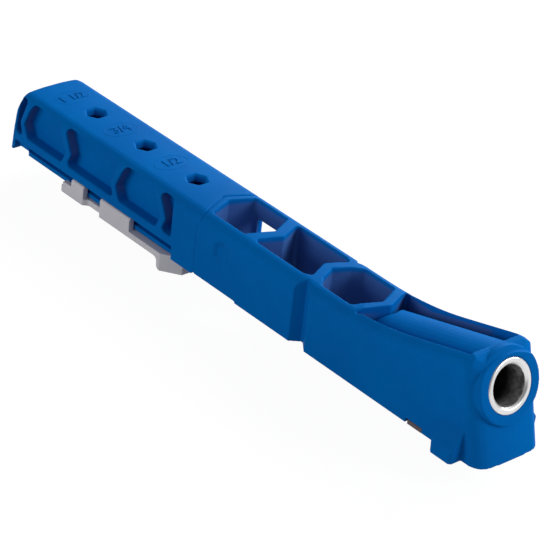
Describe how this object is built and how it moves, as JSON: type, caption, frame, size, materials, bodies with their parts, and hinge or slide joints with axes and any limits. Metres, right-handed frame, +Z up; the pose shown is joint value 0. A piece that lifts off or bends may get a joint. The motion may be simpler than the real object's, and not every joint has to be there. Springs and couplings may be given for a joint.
{
  "type": "pocket hole jig",
  "caption": "Slim moulded jig with an angled steel drill guide, honeycomb middle and a stop that slides on a rail, for drilling pocket holes in the end of a board.",
  "frame": {"origin": "on the flat work face, on the centre line, below the drill guide and 12 mm behind the front edge of the nose", "axes": "+X to the nose where the drill goes in, +Z up out of the board through the jig, so the work face looks down -Z; the board's end stands against the stop"},
  "size_m": [0.1713, 0.0266, 0.0307],
  "materials": {
    "body": "satin moulded blue",
    "guide": "ground hardened steel",
    "stop": "satin moulded light grey",
    "pad": "dull dark rubber"
  },
  "bodies": {
    "jig": {"jig_body": "body", "drill_guide": "guide", "grip_pad": "pad"},
    "stop": {"position_stop": "stop"}
  },
  "joints": [
    {"name": "stop_slide", "type": "slide", "parent": "jig", "child": "stop", "axis": [1, 0, 0], "range_m": [-0.019, 0.0155]}
  ]
}
